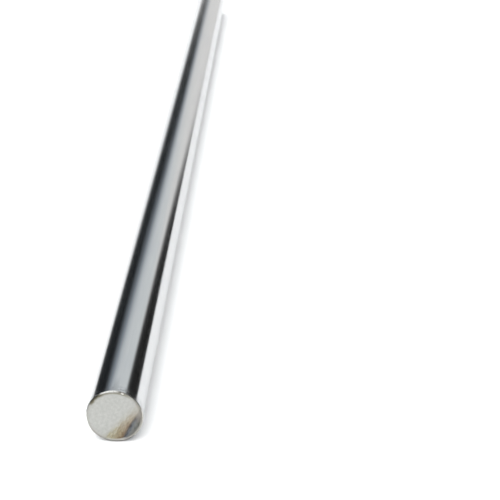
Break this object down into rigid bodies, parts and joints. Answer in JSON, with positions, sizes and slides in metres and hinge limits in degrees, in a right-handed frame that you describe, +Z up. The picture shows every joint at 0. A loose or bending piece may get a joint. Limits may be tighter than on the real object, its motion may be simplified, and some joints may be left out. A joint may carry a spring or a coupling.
{
  "type": "round metal bar",
  "caption": "Straight solid round bar of bright drawn steel, sawn to length, with its sharp edges lightly ground off at both ends.",
  "frame": {"origin": "on the floor under the middle of the bar's length, with the bar lying on its side", "axes": "+Y along the bar, away from the sawn end with the heat-tinted corner; +Z up from the floor; +X to the right seen from that end"},
  "size_m": [0.016, 0.5, 0.016],
  "materials": {
    "bright_steel": "bright drawn round, ground ends"
  },
  "bodies": {
    "root": {"round_bar": "bright_steel"}
  },
  "joints": []
}
